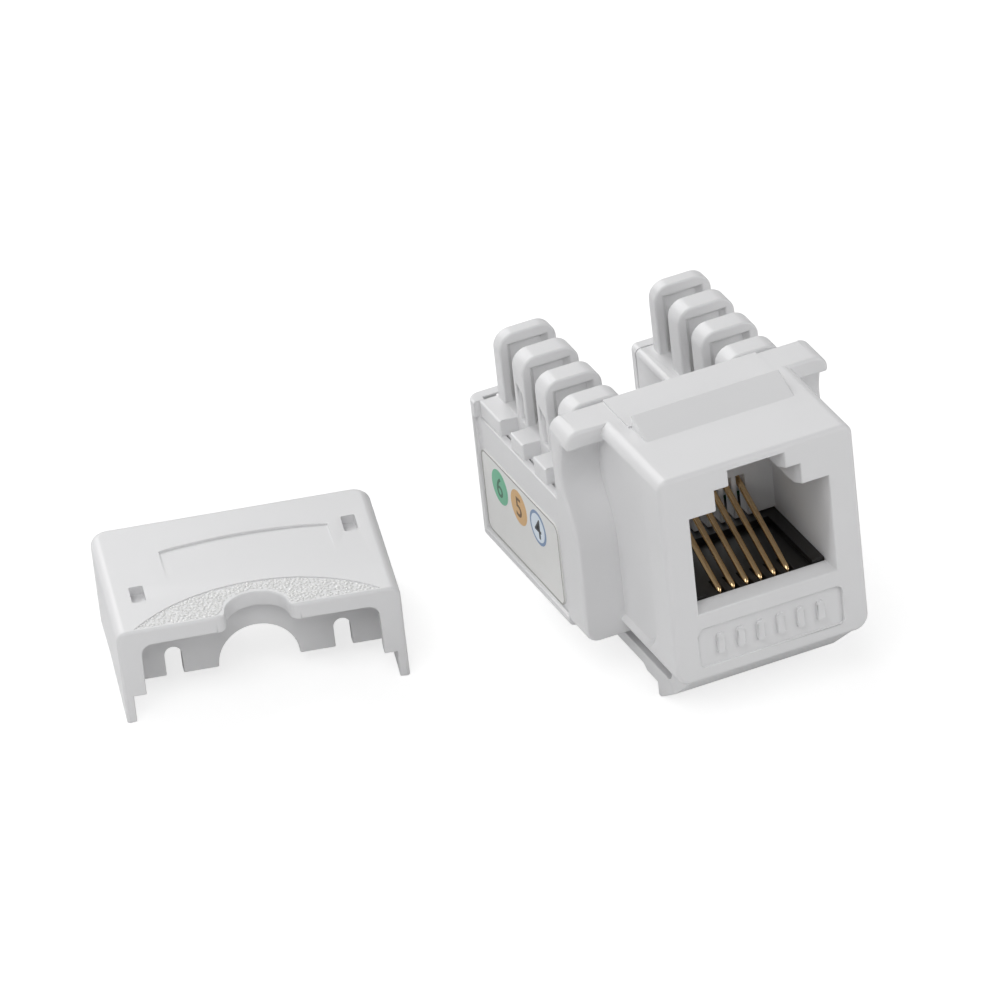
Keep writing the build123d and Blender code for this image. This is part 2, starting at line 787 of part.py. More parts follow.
# Dust cap in its own frame
with BuildPart() as cap_shell:
    with BuildSketch() as cap_plan:
        Rectangle(cap_width, cap_depth, align=(Align.CENTER, Align.MIN))
        fillet(cap_plan.vertices().group_by(Axis.Y)[-1], cap_rear_corner)
    extrude(amount=cap_height)
    cap_top_face = cap_shell.faces().sort_by(Axis.Z)[-1]
    fillet(cap_top_face.edges().sort_by(Axis.Y)[1:], cap_top_radius)
    cap_inner_half = cap_width / 2 - cap_side_wall
    with BuildSketch():
        with Locations((0, cap_front_depth)):
            Rectangle(2 * cap_inner_half, cap_depth, align=(Align.CENTER, Align.MIN))
    extrude(amount=cap_height - cap_top_thickness, mode=Mode.SUBTRACT)

    # Front opening between the two stepped legs
    leg_inner = cap_width / 2 - cap_leg_width
    opening_height = cap_height - cap_top_thickness - cap_leg_tip_height
    with BuildSketch(cross_section(0)) as opening:
        with Locations((0, cap_leg_tip_height)):
            Rectangle(2 * leg_inner, opening_height, align=(Align.CENTER, Align.MIN))
        fillet(opening.vertices().group_by(Axis.Y)[-1], cap_opening_corner)
        Rectangle(2 * cap_inner_half, cap_leg_tip_height, align=(Align.CENTER, Align.MIN))
    extrude(amount=-cap_front_depth, mode=Mode.SUBTRACT)

    # Three ribs that press the wires into the slots of the block
    rib_places = [body_back + cap_overhang - y for y in slot_middles]
    for y in rib_places:
        with BuildSketch(cross_section(y - cap_rib_thickness / 2)):
            with Locations((0, cap_rib_bottom)):
                Rectangle(
                    2 * cap_inner_half,
                    cap_height - cap_top_thickness - cap_rib_bottom,
                    align=(Align.CENTER, Align.MIN),
                )
                Circle(cap_rib_cable_radius, mode=Mode.SUBTRACT)
            with Locations(*[(side * tooth_middle, cap_rib_bottom) for side in (-1, 1)]):
                SlotOverall(2 * cap_rib_slot_height, cap_rib_slot_width, rotation=90, mode=Mode.SUBTRACT)
        extrude(amount=-cap_rib_thickness)

    # Lower edge of the side walls, rising from the leg tips
    with BuildSketch(Plane.YZ):
        with BuildLine():
            Polyline(
                (0, 0),
                (cap_side_knee, cap_side_bottom),
                (cap_depth, cap_side_rear_bottom),
                (cap_depth, -cap_height),
                (0, -cap_height),
                close=True,
            )
        make_face()
    extrude(amount=cap_width, both=True, mode=Mode.SUBTRACT)

    # Cable notch in the front edge of the top, and the rounding along that edge
    with BuildSketch(Plane.XY.offset(cap_height)):
        with Locations((0, cap_cable_notch_middle)):
            Circle(cap_cable_notch_radius)
    extrude(amount=-cap_top_thickness, mode=Mode.SUBTRACT)
    notch_corners = cap_shell.edges().filter_by(Axis.Z).filter_by(
        lambda edge: abs(edge.center().X) < cap_cable_notch_radius and edge.center().Y < touching
    )
    fillet(notch_corners, cap_cable_notch_corner)
    top_edges = cap_shell.edges().filter_by(lambda edge: edge.center().Z > cap_height - touching)
    notch_reach = cap_cable_notch_middle + cap_cable_notch_radius
    front_top_edges = top_edges.filter_by(lambda edge: edge.center().Y < notch_reach)
    fillet(front_top_edges, cap_front_edge_radius)

    # Two small pockets, one nearer the front and one nearer the rear
    with BuildSketch(Plane.XY.offset(cap_height)):
        with Locations(
            (cap_pocket_shift - cap_pocket_offset, cap_pocket_middle - cap_pocket_stagger),
            (cap_pocket_shift + cap_pocket_offset, cap_pocket_middle + cap_pocket_stagger),
        ):
            RectangleRounded(cap_pocket_width, cap_pocket_length, cap_pocket_corner)
    extrude(amount=-cap_pocket_depth, mode=Mode.SUBTRACT)

    # Shallow panel with an arched rear edge
    add(cap_panel.part, mode=Mode.SUBTRACT)

    # Grip area: a lens behind the front edge
    with BuildSketch(Plane.XY.offset(cap_height)):
        with BuildLine():
            Line((-cap_grip_half_width, cap_grip_front), (cap_grip_half_width, cap_grip_front))
            ThreePointArc(
                (cap_grip_half_width, cap_grip_front),
                (0, cap_grip_front + cap_grip_reach),
                (-cap_grip_half_width, cap_grip_front),
            )
        make_face()
    extrude(amount=-cap_grip_depth, mode=Mode.SUBTRACT)

# The cap taken off, standing on its front legs and the rear of its side walls
cap_lean = degrees(atan2(cap_side_rear_bottom, cap_depth))
with BuildPart() as dust_cap:
    with Locations(Location((cap_x, cap_y, ground), (0, 0, cap_yaw)) * Location((0, 0, 0), (-cap_lean, 0, 0))):
        add(cap_shell.part)
dust_cap.part.label = "dust_cap"
export_step(dust_cap.part, "parts/dust_cap.step")
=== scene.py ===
from math import radians

import bmesh
import bpy
from mathutils import Matrix, Vector


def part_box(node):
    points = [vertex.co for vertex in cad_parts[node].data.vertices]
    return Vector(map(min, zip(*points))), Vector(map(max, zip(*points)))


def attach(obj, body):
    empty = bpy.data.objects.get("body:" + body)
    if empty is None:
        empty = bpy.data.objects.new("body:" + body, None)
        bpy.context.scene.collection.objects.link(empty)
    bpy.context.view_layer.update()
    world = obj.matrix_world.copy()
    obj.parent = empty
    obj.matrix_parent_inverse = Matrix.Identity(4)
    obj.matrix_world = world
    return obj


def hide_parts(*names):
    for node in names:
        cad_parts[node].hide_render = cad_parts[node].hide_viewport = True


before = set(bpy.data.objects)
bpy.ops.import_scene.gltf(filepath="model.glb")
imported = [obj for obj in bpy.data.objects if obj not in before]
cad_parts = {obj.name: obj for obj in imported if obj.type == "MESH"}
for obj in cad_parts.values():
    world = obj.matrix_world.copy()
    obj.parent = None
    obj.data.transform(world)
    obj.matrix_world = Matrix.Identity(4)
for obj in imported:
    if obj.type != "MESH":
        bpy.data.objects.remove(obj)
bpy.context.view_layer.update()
MM = 0.001


# Front housing
# The box with the plug port, the flange, the fixed lug and the flexible latch are one
# injection moulding in white ABS. The mould leaves every outer edge very slightly round,
# and spark erosion leaves the satin grain that softens the highlights.
MOULD_EDGE = 0.09 * MM
MOULD_EDGE_STEPS = 3
SHARP_ANGLE = radians(33)
CREASE_ANGLE = radians(22)
NARROW_FACE = 0.12 * MM
# Faces with more sides than this are split before the rounding
MANY_SIDES = 12
# The split distorts the cap's pockets, so the cap and the body keep their faces whole
WHOLE_FACES = 150
FLAT_FACE_WEIGHT = 60
MERGE_DISTANCE = 0.0005 * MM
FLAT_ANGLE = radians(0.6)
ABS_LIGHT = "#E0E0E1"
ABS_SHADE = "#DBDBDC"
ABS_POLISH = 0.36
ABS_SATIN = 0.46


def linear(code):
    """Turns an sRGB hex colour into the linear values that a shader takes."""
    parts = [int(code[i:i + 2], 16) / 255 for i in (1, 3, 5)]
    return [c / 12.92 if c <= 0.04045 else ((c + 0.055) / 1.055) ** 2.4 for c in parts] + [1.0]


def add_node(tree, kind, settings=None, inputs=None):
    """Adds one node with its settings; an input is a value or the socket that feeds it."""
    node = tree.nodes.new(kind)
    for name, value in (settings or {}).items():
        setattr(node, name, value)
    for name, value in (inputs or {}).items():
        if isinstance(value, bpy.types.NodeSocket):
            tree.links.new(value, node.inputs[name])
        else:
            node.inputs[name].default_value = value
    return node


def new_material(name):
    """An empty node material and its tree."""
    material = bpy.data.materials.new(name)
    material.use_nodes = True
    material.node_tree.nodes.clear()
    return material, material.node_tree


def moulded_white(name, light, shade, polish=ABS_POLISH, satin=ABS_SATIN):
    """Moulded white ABS: faint flow clouds 7 mm across under a satin spark-eroded grain."""
    material, tree = new_material(name)
    place = add_node(tree, "ShaderNodeTexCoord").outputs["Object"]
    flow = add_node(tree, "ShaderNodeTexNoise", inputs={
        "Vector": place, "Scale": 1 / (7 * MM), "Detail": 2.0})
    # The real grain is about 0.03 mm, too fine to show here, so it is drawn at 0.15 mm
    grain = add_node(tree, "ShaderNodeTexNoise", inputs={
        "Vector": place, "Scale": 1 / (0.15 * MM), "Detail": 3.0, "Roughness": 0.6})
    colour = add_node(tree, "ShaderNodeMix", {"data_type": "RGBA"}, {
        "Factor": flow.outputs["Fac"], 6: linear(shade), 7: linear(light)})
    sheen = add_node(tree, "ShaderNodeMapRange", inputs={
        "Value": grain.outputs["Fac"], "From Min": 0.3, "From Max": 0.7,
        "To Min": polish, "To Max": satin})
    relief = add_node(tree, "ShaderNodeBump", inputs={
        "Height": grain.outputs["Fac"], "Strength": 0.12, "Distance": 0.02 * MM})
    skin = add_node(tree, "ShaderNodeBsdfPrincipled", inputs={
        "Base Color": colour.outputs[2], "Roughness": sheen.outputs[0],
        "Normal": relief.outputs[0], "IOR": 1.53})
    add_node(tree, "ShaderNodeOutputMaterial", inputs={"Surface": skin.outputs[0]})
    return material


def mesh_piece(name, mesh, material):
    """Puts a finished mesh in the scene as a piece on the root body."""
    piece = bpy.data.objects.new(name, mesh)
    bpy.context.scene.collection.objects.link(piece)
    piece.data.materials.clear()
    piece.data.materials.append(material)
    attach(piece, "root")
    return piece


def baked(source, name):
    """The evaluated mesh of an object that still has its modifiers, which is then removed."""
    graph = bpy.context.evaluated_depsgraph_get()
    mesh = bpy.data.meshes.new_from_object(source.evaluated_get(graph))
    mesh.name = name
    bpy.data.objects.remove(source)
    return mesh


def moulded_copy(node_name, name, material, many_sides=MANY_SIDES):
    """A merged copy of a CAD node that stands for it, with its outer edges rounded.

    Inner corners stay sharp, as a mould leaves them, and so do edges beside narrow faces.
    Faces of more than many_sides sides are split first, so that the rounding stays flat."""
    shape = bmesh.new()
    shape.from_mesh(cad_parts[node_name].data)
    bmesh.ops.remove_doubles(shape, verts=shape.verts, dist=MERGE_DISTANCE)
    bmesh.ops.dissolve_limit(shape, angle_limit=FLAT_ANGLE, verts=shape.verts, edges=shape.edges)
    crowded = [face for face in shape.faces if len(face.verts) > many_sides]
    bmesh.ops.triangulate(shape, faces=crowded)
    for face in shape.faces:
        face.smooth = True
    rounded = shape.edges.layers.float.new("bevel_weight_edge")
    for line in shape.edges:
        if line.is_convex and line.calc_face_angle() > SHARP_ANGLE:
            width = min(2 * face.calc_area() / face.calc_perimeter() for face in line.link_faces)
            line[rounded] = float(width > NARROW_FACE)
        line.smooth = line.calc_face_angle() < CREASE_ANGLE or line[rounded] > 0
    mesh = bpy.data.meshes.new(name)
    shape.to_mesh(mesh)
    shape.free()
    rough = bpy.data.objects.new(name + "_rough", mesh)
    bpy.context.scene.collection.objects.link(rough)
    rounding = rough.modifiers.new("rounding", "BEVEL")
    rounding.limit_method = "WEIGHT"
    rounding.width = MOULD_EDGE
    rounding.segments = MOULD_EDGE_STEPS
    rounding.use_clamp_overlap = False
    rounding.loop_slide = False
    even = rough.modifiers.new("even", "WEIGHTED_NORMAL")
    even.weight = FLAT_FACE_WEIGHT
    even.keep_sharp = True
    piece = mesh_piece(name, baked(rough, name), material)
    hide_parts(node_name)
    return piece


white_abs = moulded_white("satin_moulded_white_abs", ABS_LIGHT, ABS_SHADE)
moulded_copy("front_housing", "housing_moulding", white_abs)


# Contact insert
# A black slab of glass-filled polyester that holds the six wires. It slides into the
# housing from the back and shows as the dark floor of the port.
INSERT_BLACK = "#0B0A09"
INSERT_BROWN = "#120F0C"

black_polyester, tree = new_material("glass_filled_black_polyester")
place = add_node(tree, "ShaderNodeTexCoord").outputs["Object"]
# Short glass fibres just under the skin give it a dull, slightly streaky black
fibres = add_node(tree, "ShaderNodeTexNoise", inputs={
    "Vector": place, "Scale": 1 / (0.4 * MM), "Detail": 4.0, "Distortion": 1.5})
tint = add_node(tree, "ShaderNodeMix", {"data_type": "RGBA"}, {
    "Factor": fibres.outputs["Fac"], 6: linear(INSERT_BLACK), 7: linear(INSERT_BROWN)})
dullness = add_node(tree, "ShaderNodeMapRange", inputs={
    "Value": fibres.outputs["Fac"], "To Min": 0.36, "To Max": 0.5})
skin = add_node(tree, "ShaderNodeBsdfPrincipled", inputs={
    "Base Color": tint.outputs[2], "Roughness": dullness.outputs[0], "IOR": 1.57})
add_node(tree, "ShaderNodeOutputMaterial", inputs={"Surface": skin.outputs[0]})
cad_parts["contact_insert"].data.materials.clear()
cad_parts["contact_insert"].data.materials.append(black_polyester)


# Contact wires
# Six round spring wires of drawn phosphor bronze with a thin flash of gold. Each is bent
# tightly at the front and rises to the back wall; drawing leaves faint lines along it.
CONTACT_COUNT = 6
WIRE_GOLD = "#F0D2A4"
WIRE_BRONZE = "#DBB785"

gold_bronze, tree = new_material("gold_flashed_phosphor_bronze")
place = add_node(tree, "ShaderNodeTexCoord").outputs["Object"]
# Drawing lines run along the wire, 0.06 mm apart and about 3 mm long
stretched = add_node(tree, "ShaderNodeMapping", {"vector_type": "POINT"}, {
    "Vector": place, "Scale": (1 / (0.06 * MM), 1 / (3 * MM), 1 / (0.3 * MM))})
lines = add_node(tree, "ShaderNodeTexNoise", inputs={
    "Vector": stretched.outputs[0], "Scale": 1.0, "Detail": 2.0})
tone = add_node(tree, "ShaderNodeMix", {"data_type": "RGBA"}, {
    "Factor": lines.outputs["Fac"], 6: linear(WIRE_BRONZE), 7: linear(WIRE_GOLD)})
polish = add_node(tree, "ShaderNodeMapRange", inputs={
    "Value": lines.outputs["Fac"], "To Min": 0.14, "To Max": 0.26})
metal = add_node(tree, "ShaderNodeBsdfPrincipled", inputs={
    "Base Color": tone.outputs[2], "Roughness": polish.outputs[0], "Metallic": 1.0})
add_node(tree, "ShaderNodeOutputMaterial", inputs={"Surface": metal.outputs[0]})
for number in range(1, CONTACT_COUNT + 1):
    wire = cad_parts[f"contact_wire_{number}"]
    wire.data.materials.clear()
    wire.data.materials.append(gold_bronze)


# Circuit board
# A small board of glass-epoxy laminate under green solder mask. It joins the tails of the
# wires to the terminals and lies hidden between the insert and the block.
MASK_GREEN = "#1E5A32"
MASK_DARK = "#174A29"

board_green, tree = new_material("green_masked_glass_epoxy")
place = add_node(tree, "ShaderNodeTexCoord").outputs["Object"]
# The weave of the glass cloth, 0.4 mm between threads, shows faintly through the mask
weave = add_node(tree, "ShaderNodeTexBrick", {"offset": 0.5}, {
    "Vector": place, "Color1": linear(MASK_GREEN), "Color2": linear(MASK_DARK),
    "Mortar": linear(MASK_DARK), "Scale": 1 / (0.8 * MM), "Mortar Size": 0.04})
mask = add_node(tree, "ShaderNodeBsdfPrincipled", inputs={
    "Base Color": weave.outputs["Color"], "Roughness": 0.3, "IOR": 1.5})
add_node(tree, "ShaderNodeOutputMaterial", inputs={"Surface": mask.outputs[0]})
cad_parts["circuit_board"].data.materials.clear()
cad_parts["circuit_board"].data.materials.append(board_green)


# Rear body
# The open tray behind the flange, moulded in the same white ABS. It closes the housing's
# back, carries the block and has a sunk panel for the label on each side.
moulded_copy("rear_body", "rear_body_moulding", white_abs, WHOLE_FACES)


# Punch-down block
# Two rows of four round-topped teeth over the wire slots, with pads that lap over the
# tray's side walls; one moulding in white ABS, pressed down into the tray.
moulded_copy("idc_block", "block_moulding", white_abs)


# Insulation-displacement terminals
# Six forks stamped from bronze strip and tinned. Each stands across a wire slot, held
# between two teeth; the matt tin shows fine stamping lines.
TERMINAL_COUNT = 6
TIN_LIGHT = "#C9C8C4"
TIN_DARK = "#A9A8A3"

tinned_strip, tree = new_material("matt_tinned_bronze_strip")
place = add_node(tree, "ShaderNodeTexCoord").outputs["Object"]
# Rolling lines of the strip, 0.08 mm apart
rolled = add_node(tree, "ShaderNodeMapping", {"vector_type": "POINT"}, {
    "Vector": place, "Scale": (1 / (2 * MM), 1 / (0.08 * MM), 1 / (2 * MM))})
streaks = add_node(tree, "ShaderNodeTexNoise", inputs={
    "Vector": rolled.outputs[0], "Scale": 1.0, "Detail": 3.0})
tin = add_node(tree, "ShaderNodeMix", {"data_type": "RGBA"}, {
    "Factor": streaks.outputs["Fac"], 6: linear(TIN_DARK), 7: linear(TIN_LIGHT)})
matt = add_node(tree, "ShaderNodeMapRange", inputs={
    "Value": streaks.outputs["Fac"], "To Min": 0.3, "To Max": 0.48})
metal = add_node(tree, "ShaderNodeBsdfPrincipled", inputs={
    "Base Color": tin.outputs[2], "Roughness": matt.outputs[0], "Metallic": 1.0})
add_node(tree, "ShaderNodeOutputMaterial", inputs={"Surface": metal.outputs[0]})
for number in range(1, TERMINAL_COUNT + 1):
    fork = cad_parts[f"idc_terminal_{number}"]
    fork.data.materials.clear()
    fork.data.materials.append(tinned_strip)


# Labels
# A self-adhesive film in each sunk side panel, printed with three numbered discs that tell
# the wires' places. The thin grey ring along its edge is painted shadow. The print and the
# painted shadow lie a hair above the film.
FILM_LIGHT = "#E3E3E2"
FILM_SHADE = "#DEDEDC"
LAYER_THICKNESS = 0.012 * MM
EDGE_SHADOW_WIDTH = 0.13 * MM
EDGE_SHADOW_CORNER = 0.7 * MM
EDGE_SHADOW_STEPS = 8
DISC_RADIUS = 1.33 * MM
DISC_RING = 0.24 * MM
DISC_HEIGHT = -2.9 * MM
DISC_SIDES = 48
DIGIT_HEIGHT = 1.6 * MM
DIGIT_WEIGHT = 0.01 * MM
HEIGHT_IN_TEXT_SIZE = 0.72
DISC_PLACES = (16.4 * MM, 19.6 * MM, 22.8 * MM)
LABEL_DIGITS = {"label_left": "456", "label_right": "123"}
DISC_INKS = ("#7C93B5", "#D6AE78", "#6EB996")
DISC_FIELDS = ("#DCE6F0", "#D6AE78", "#6EB996")
DIGIT_INKS = ("#2E3238", "#6B4A22", "#2F6B50")
# Grey of the painted shadow along each label's edge
EDGE_SHADOW_GREY = "#A8A7A3"
PAINT_COVER = 0.92
FILM_THROUGH_PAINT = 0.06

label_film, tree = new_material("printed_vinyl_film")
place = add_node(tree, "ShaderNodeTexCoord").outputs["Object"]
# The film follows the panel's moulded grain, so it undulates slightly every 1.5 mm
waves = add_node(tree, "ShaderNodeTexNoise", inputs={
    "Vector": place, "Scale": 1 / (1.5 * MM), "Detail": 2.0})
paper = add_node(tree, "ShaderNodeMix", {"data_type": "RGBA"}, {
    "Factor": waves.outputs["Fac"], 6: linear(FILM_SHADE), 7: linear(FILM_LIGHT)})
ripple = add_node(tree, "ShaderNodeBump", inputs={
    "Height": waves.outputs["Fac"], "Strength": 0.1, "Distance": 0.03 * MM})
film = add_node(tree, "ShaderNodeBsdfPrincipled", inputs={
    "Base Color": paper.outputs[2], "Roughness": 0.32, "Normal": ripple.outputs[0], "IOR": 1.5})
add_node(tree, "ShaderNodeOutputMaterial", inputs={"Surface": film.outputs[0]})


def print_and_shadow_paint(name, code):
    """One colour with the faint uneven cover of a 0.3 mm screen mesh, for the print and for the painted
    edge shadow.
    """
    material, tree = new_material(name)
    place = add_node(tree, "ShaderNodeTexCoord").outputs["Object"]
    cover = add_node(tree, "ShaderNodeTexNoise", inputs={
        "Vector": place, "Scale": 1 / (0.3 * MM), "Detail": 2.0})
    strong = linear(code)
    thin = [PAINT_COVER * c + FILM_THROUGH_PAINT for c in strong[:3]] + [1.0]
    shade = add_node(tree, "ShaderNodeMix", {"data_type": "RGBA"}, {
        "Factor": cover.outputs["Fac"], 6: strong, 7: thin})
    paint = add_node(tree, "ShaderNodeBsdfPrincipled", inputs={
        "Base Color": shade.outputs[2], "Roughness": 0.45, "IOR": 1.48})
    add_node(tree, "ShaderNodeOutputMaterial", inputs={"Surface": paint.outputs[0]})
    return material


def rounded_loop(width, height, corner, steps):
    """Points round a rectangle with round corners, centred on the origin."""
    points = []
    for quarter, (x, y) in enumerate(((1, 1), (-1, 1), (-1, -1), (1, -1))):
        centre = Vector((x * (width / 2 - corner), y * (height / 2 - corner), 0))
        for step in range(steps + 1):
            turn = Matrix.Rotation(radians(90 * (quarter + step / steps)), 4, "Z")
            points.append(centre + turn @ Vector((corner, 0, 0)))
    return points


def print_and_shadow_band(name, outer, inner, place, paint):
    """A thin band between two loops of points, or a full field with no inner loop; it draws the printed
    discs and the painted edge shadow.
    """
    shape = bmesh.new()
    rings = []
    for level in (0, LAYER_THICKNESS):
        for loop in (outer, inner):
            if loop:
                rings.append([shape.verts.new(p + Vector((0, 0, level))) for p in loop])
    count = len(outer)
    if inner:
        low_outer, low_inner, high_outer, high_inner = rings
        for i in range(count):
            j = (i + 1) % count
            shape.faces.new((high_outer[i], high_outer[j], high_inner[j], high_inner[i]))
            shape.faces.new((low_outer[j], low_outer[i], low_inner[i], low_inner[j]))
            shape.faces.new((low_outer[i], low_outer[j], high_outer[j], high_outer[i]))
            shape.faces.new((low_inner[j], low_inner[i], high_inner[i], high_inner[j]))
    else:
        low, high = rings
        shape.faces.new(high)
        shape.faces.new(list(reversed(low)))
        for i in range(count):
            j = (i + 1) % count
            shape.faces.new((low[i], low[j], high[j], high[i]))
    bmesh.ops.recalc_face_normals(shape, faces=shape.faces)
    shape.transform(place)
    mesh = bpy.data.meshes.new(name)
    shape.to_mesh(mesh)
    shape.free()
    return mesh_piece(name, mesh, paint)


def printed_digit(name, character, place, paint):
    """One printed digit, drawn as text and turned into a mesh before it is placed."""
    text = bpy.data.curves.new(name, "FONT")
    text.body = character
    text.size = DIGIT_HEIGHT / HEIGHT_IN_TEXT_SIZE
    text.align_x = "CENTER"
    text.align_y = "CENTER"
    text.offset = DIGIT_WEIGHT
    text.extrude = LAYER_THICKNESS / 2
    mesh = baked(bpy.data.objects.new(name + "_text", text), name)
    low = Vector(min(v.co[i] for v in mesh.vertices) for i in range(3))
    high = Vector(max(v.co[i] for v in mesh.vertices) for i in range(3))
    mesh.transform(Matrix.Translation(-(low + high) / 2 + Vector((0, 0, LAYER_THICKNESS / 2))))
    mesh.transform(place)
    return mesh_piece(name, mesh, paint)


# The grey ring along each label's edge is painted shadow: the shade at the film's edge, drawn in grey a
# hair above it
edge_shadow_paint = print_and_shadow_paint("painted_label_edge_shadow", EDGE_SHADOW_GREY)
disc_inks = [print_and_shadow_paint(f"disc_ink_{i + 1}", code) for i, code in enumerate(DISC_INKS)]
field_inks = [print_and_shadow_paint(f"disc_field_ink_{i + 1}", code) for i, code in enumerate(DISC_FIELDS)]
digit_inks = [print_and_shadow_paint(f"digit_ink_{i + 1}", code) for i, code in enumerate(DIGIT_INKS)]
disc_loop = [Matrix.Rotation(radians(360 * i / DISC_SIDES), 4, "Z") @ Vector((DISC_RADIUS, 0, 0))
             for i in range(DISC_SIDES)]
field_loop = [p * (1 - DISC_RING / DISC_RADIUS) for p in disc_loop]
for side, node_name in ((-1, "label_left"), (1, "label_right")):
    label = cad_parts[node_name]
    label.data.materials.clear()
    label.data.materials.append(label_film)
    low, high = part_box(node_name)
    surface = low.x if side < 0 else high.x
    # Local x runs as the label is read, local y is up, local z points out of the label
    facing = Matrix(((0, 0, side, 0), (side, 0, 0, 0), (0, 1, 0, 0), (0, 0, 0, 1)))
    middle = Matrix.Translation((surface, (low.y + high.y) / 2, (low.z + high.z) / 2)) @ facing
    length = high.y - low.y
    height = high.z - low.z
    outer = rounded_loop(length, height, EDGE_SHADOW_CORNER, EDGE_SHADOW_STEPS)
    inner = rounded_loop(length - 2 * EDGE_SHADOW_WIDTH, height - 2 * EDGE_SHADOW_WIDTH,
                         EDGE_SHADOW_CORNER - EDGE_SHADOW_WIDTH, EDGE_SHADOW_STEPS)
    # Painted shadow: a grey ring along the label's edge
    print_and_shadow_band(f"{node_name}_painted_edge_shadow", outer, inner, middle, edge_shadow_paint)
    for i, y in enumerate(DISC_PLACES):
        spot = Matrix.Translation((surface, y, DISC_HEIGHT)) @ facing
        above = Matrix.Translation((side * LAYER_THICKNESS, 0, 0))
        print_and_shadow_band(f"{node_name}_disc_{i + 1}", disc_loop, None, spot, disc_inks[i])
        print_and_shadow_band(f"{node_name}_field_{i + 1}", field_loop, None, above @ spot, field_inks[i])
        printed_digit(f"{node_name}_digit_{i + 1}", LABEL_DIGITS[node_name][i],
                      above @ above @ spot, digit_inks[i])


# Dust cap
# The cap that presses the wires into the block and covers it, taken off here. It is a
# thinner shot of the same ABS, slightly brighter, with a pebbled grip behind its front edge.
CAP_LIGHT = "#E1E1E2"
CAP_SHADE = "#DCDCDD"
GRIP_LIGHT = "#EAEAE9"
GRIP_SHADE = "#E2E2E1"
GRIP_POLISH = 0.14
GRIP_SATIN = 0.22
CAP_PLACE = (-29.1 * MM, 20.8 * MM, -12.45 * MM)
CAP_YAW = -14.6
CAP_LEAN = 1.153
CAP_HEIGHT = 7.1 * MM
GRIP_HALF_WIDTH = 8.6 * MM
GRIP_FRONT = 0.3 * MM
GRIP_REACH = 3.9 * MM
GRIP_DEPTH = 0.08 * MM
GRIP_MARGIN = 0.14 * MM
GRIP_LIFT = 0.005 * MM
GRIP_STRIPS = 120
GRIP_THINNEST = 0.001 * MM
NOTCH_RADIUS = 2.45 * MM
NOTCH_MIDDLE = 0.6 * MM
NOTCH_MOUTH = 2.99 * MM
NOTCH_CORNER = 0.55 * MM
PEBBLE_RADIUS = 0.16 * MM
PEBBLE_SPACING = 0.23 * MM
PEBBLE_RISE = 0.55
PEBBLE_SEED = 7
SMALLEST_PEBBLE = 0.7

cap_abs = moulded_white("satin_moulded_cap_abs", CAP_LIGHT, CAP_SHADE)
# The same ABS against a polished part of the mould, so each pebble catches a small glint
grip_abs = moulded_white("polished_grip_abs", GRIP_LIGHT, GRIP_SHADE, GRIP_POLISH, GRIP_SATIN)
moulded_copy("dust_cap", "cap_moulding", cap_abs, WHOLE_FACES)

# The grip's outline is a lens cut by the cable notch; pebbles are spread over it
arc_radius = (GRIP_HALF_WIDTH ** 2 + GRIP_REACH ** 2) / (2 * GRIP_REACH)
arc_middle = GRIP_FRONT + GRIP_REACH - arc_radius
lens = bmesh.new()
columns = []
for i in range(GRIP_STRIPS + 1):
    x = (-1 + 2 * i / GRIP_STRIPS) * (GRIP_HALF_WIDTH - 2 * GRIP_MARGIN)
    rear = arc_middle + (arc_radius ** 2 - x ** 2) ** 0.5 - GRIP_MARGIN
    front = GRIP_FRONT
    if abs(x) < NOTCH_RADIUS:
        front = NOTCH_MIDDLE + (NOTCH_RADIUS ** 2 - x ** 2) ** 0.5
    elif abs(x) < NOTCH_MOUTH:
        front += NOTCH_CORNER - (NOTCH_CORNER ** 2 - (NOTCH_MOUTH - abs(x)) ** 2) ** 0.5
    front += GRIP_MARGIN
    rear = max(rear, front + GRIP_THINNEST)
    columns.append((lens.verts.new((x, front, 0)), lens.verts.new((x, rear, 0))))
for (a, b), (c, d) in zip(columns, columns[1:]):
    lens.faces.new((a, c, d, b))
lens_mesh = bpy.data.meshes.new("cap_grip_field")
lens.to_mesh(lens_mesh)
lens.free()
grip = bpy.data.objects.new("cap_grip_rough", lens_mesh)
bpy.context.scene.collection.objects.link(grip)

pebbles = bpy.data.node_groups.new("pebbled_grip", "GeometryNodeTree")
pebble_inputs = (
    ("Field", "NodeSocketGeometry", None),
    ("Spacing", "NodeSocketFloat", PEBBLE_SPACING),
    ("Pebble Radius", "NodeSocketFloat", PEBBLE_RADIUS),
    ("Seed", "NodeSocketInt", PEBBLE_SEED))
given_values = {}
for title, kind, value in pebble_inputs:
    socket = pebbles.interface.new_socket(title, in_out="INPUT", socket_type=kind)
    given_values[socket.identifier] = value
pebbles.interface.new_socket("Pebbles", in_out="OUTPUT", socket_type="NodeSocketGeometry")
given = add_node(pebbles, "NodeGroupInput")
scatter = add_node(pebbles, "GeometryNodeDistributePointsOnFaces", {"distribute_method": "POISSON"}, {
    "Mesh": given.outputs["Field"], "Distance Min": given.outputs["Spacing"],
    "Density Max": 4 / PEBBLE_SPACING ** 2, "Seed": given.outputs["Seed"]})
pebble = add_node(pebbles, "GeometryNodeMeshIcoSphere", inputs={
    "Radius": given.outputs["Pebble Radius"], "Subdivisions": 1})
turns = add_node(pebbles, "FunctionNodeRandomValue", {"data_type": "FLOAT_VECTOR"}, {
    "Max": (3.0, 3.0, 3.0), "Seed": given.outputs["Seed"]})
sizes = add_node(pebbles, "FunctionNodeRandomValue", {"data_type": "FLOAT"}, {
    2: SMALLEST_PEBBLE, 3: 1.0, "Seed": given.outputs["Seed"]})
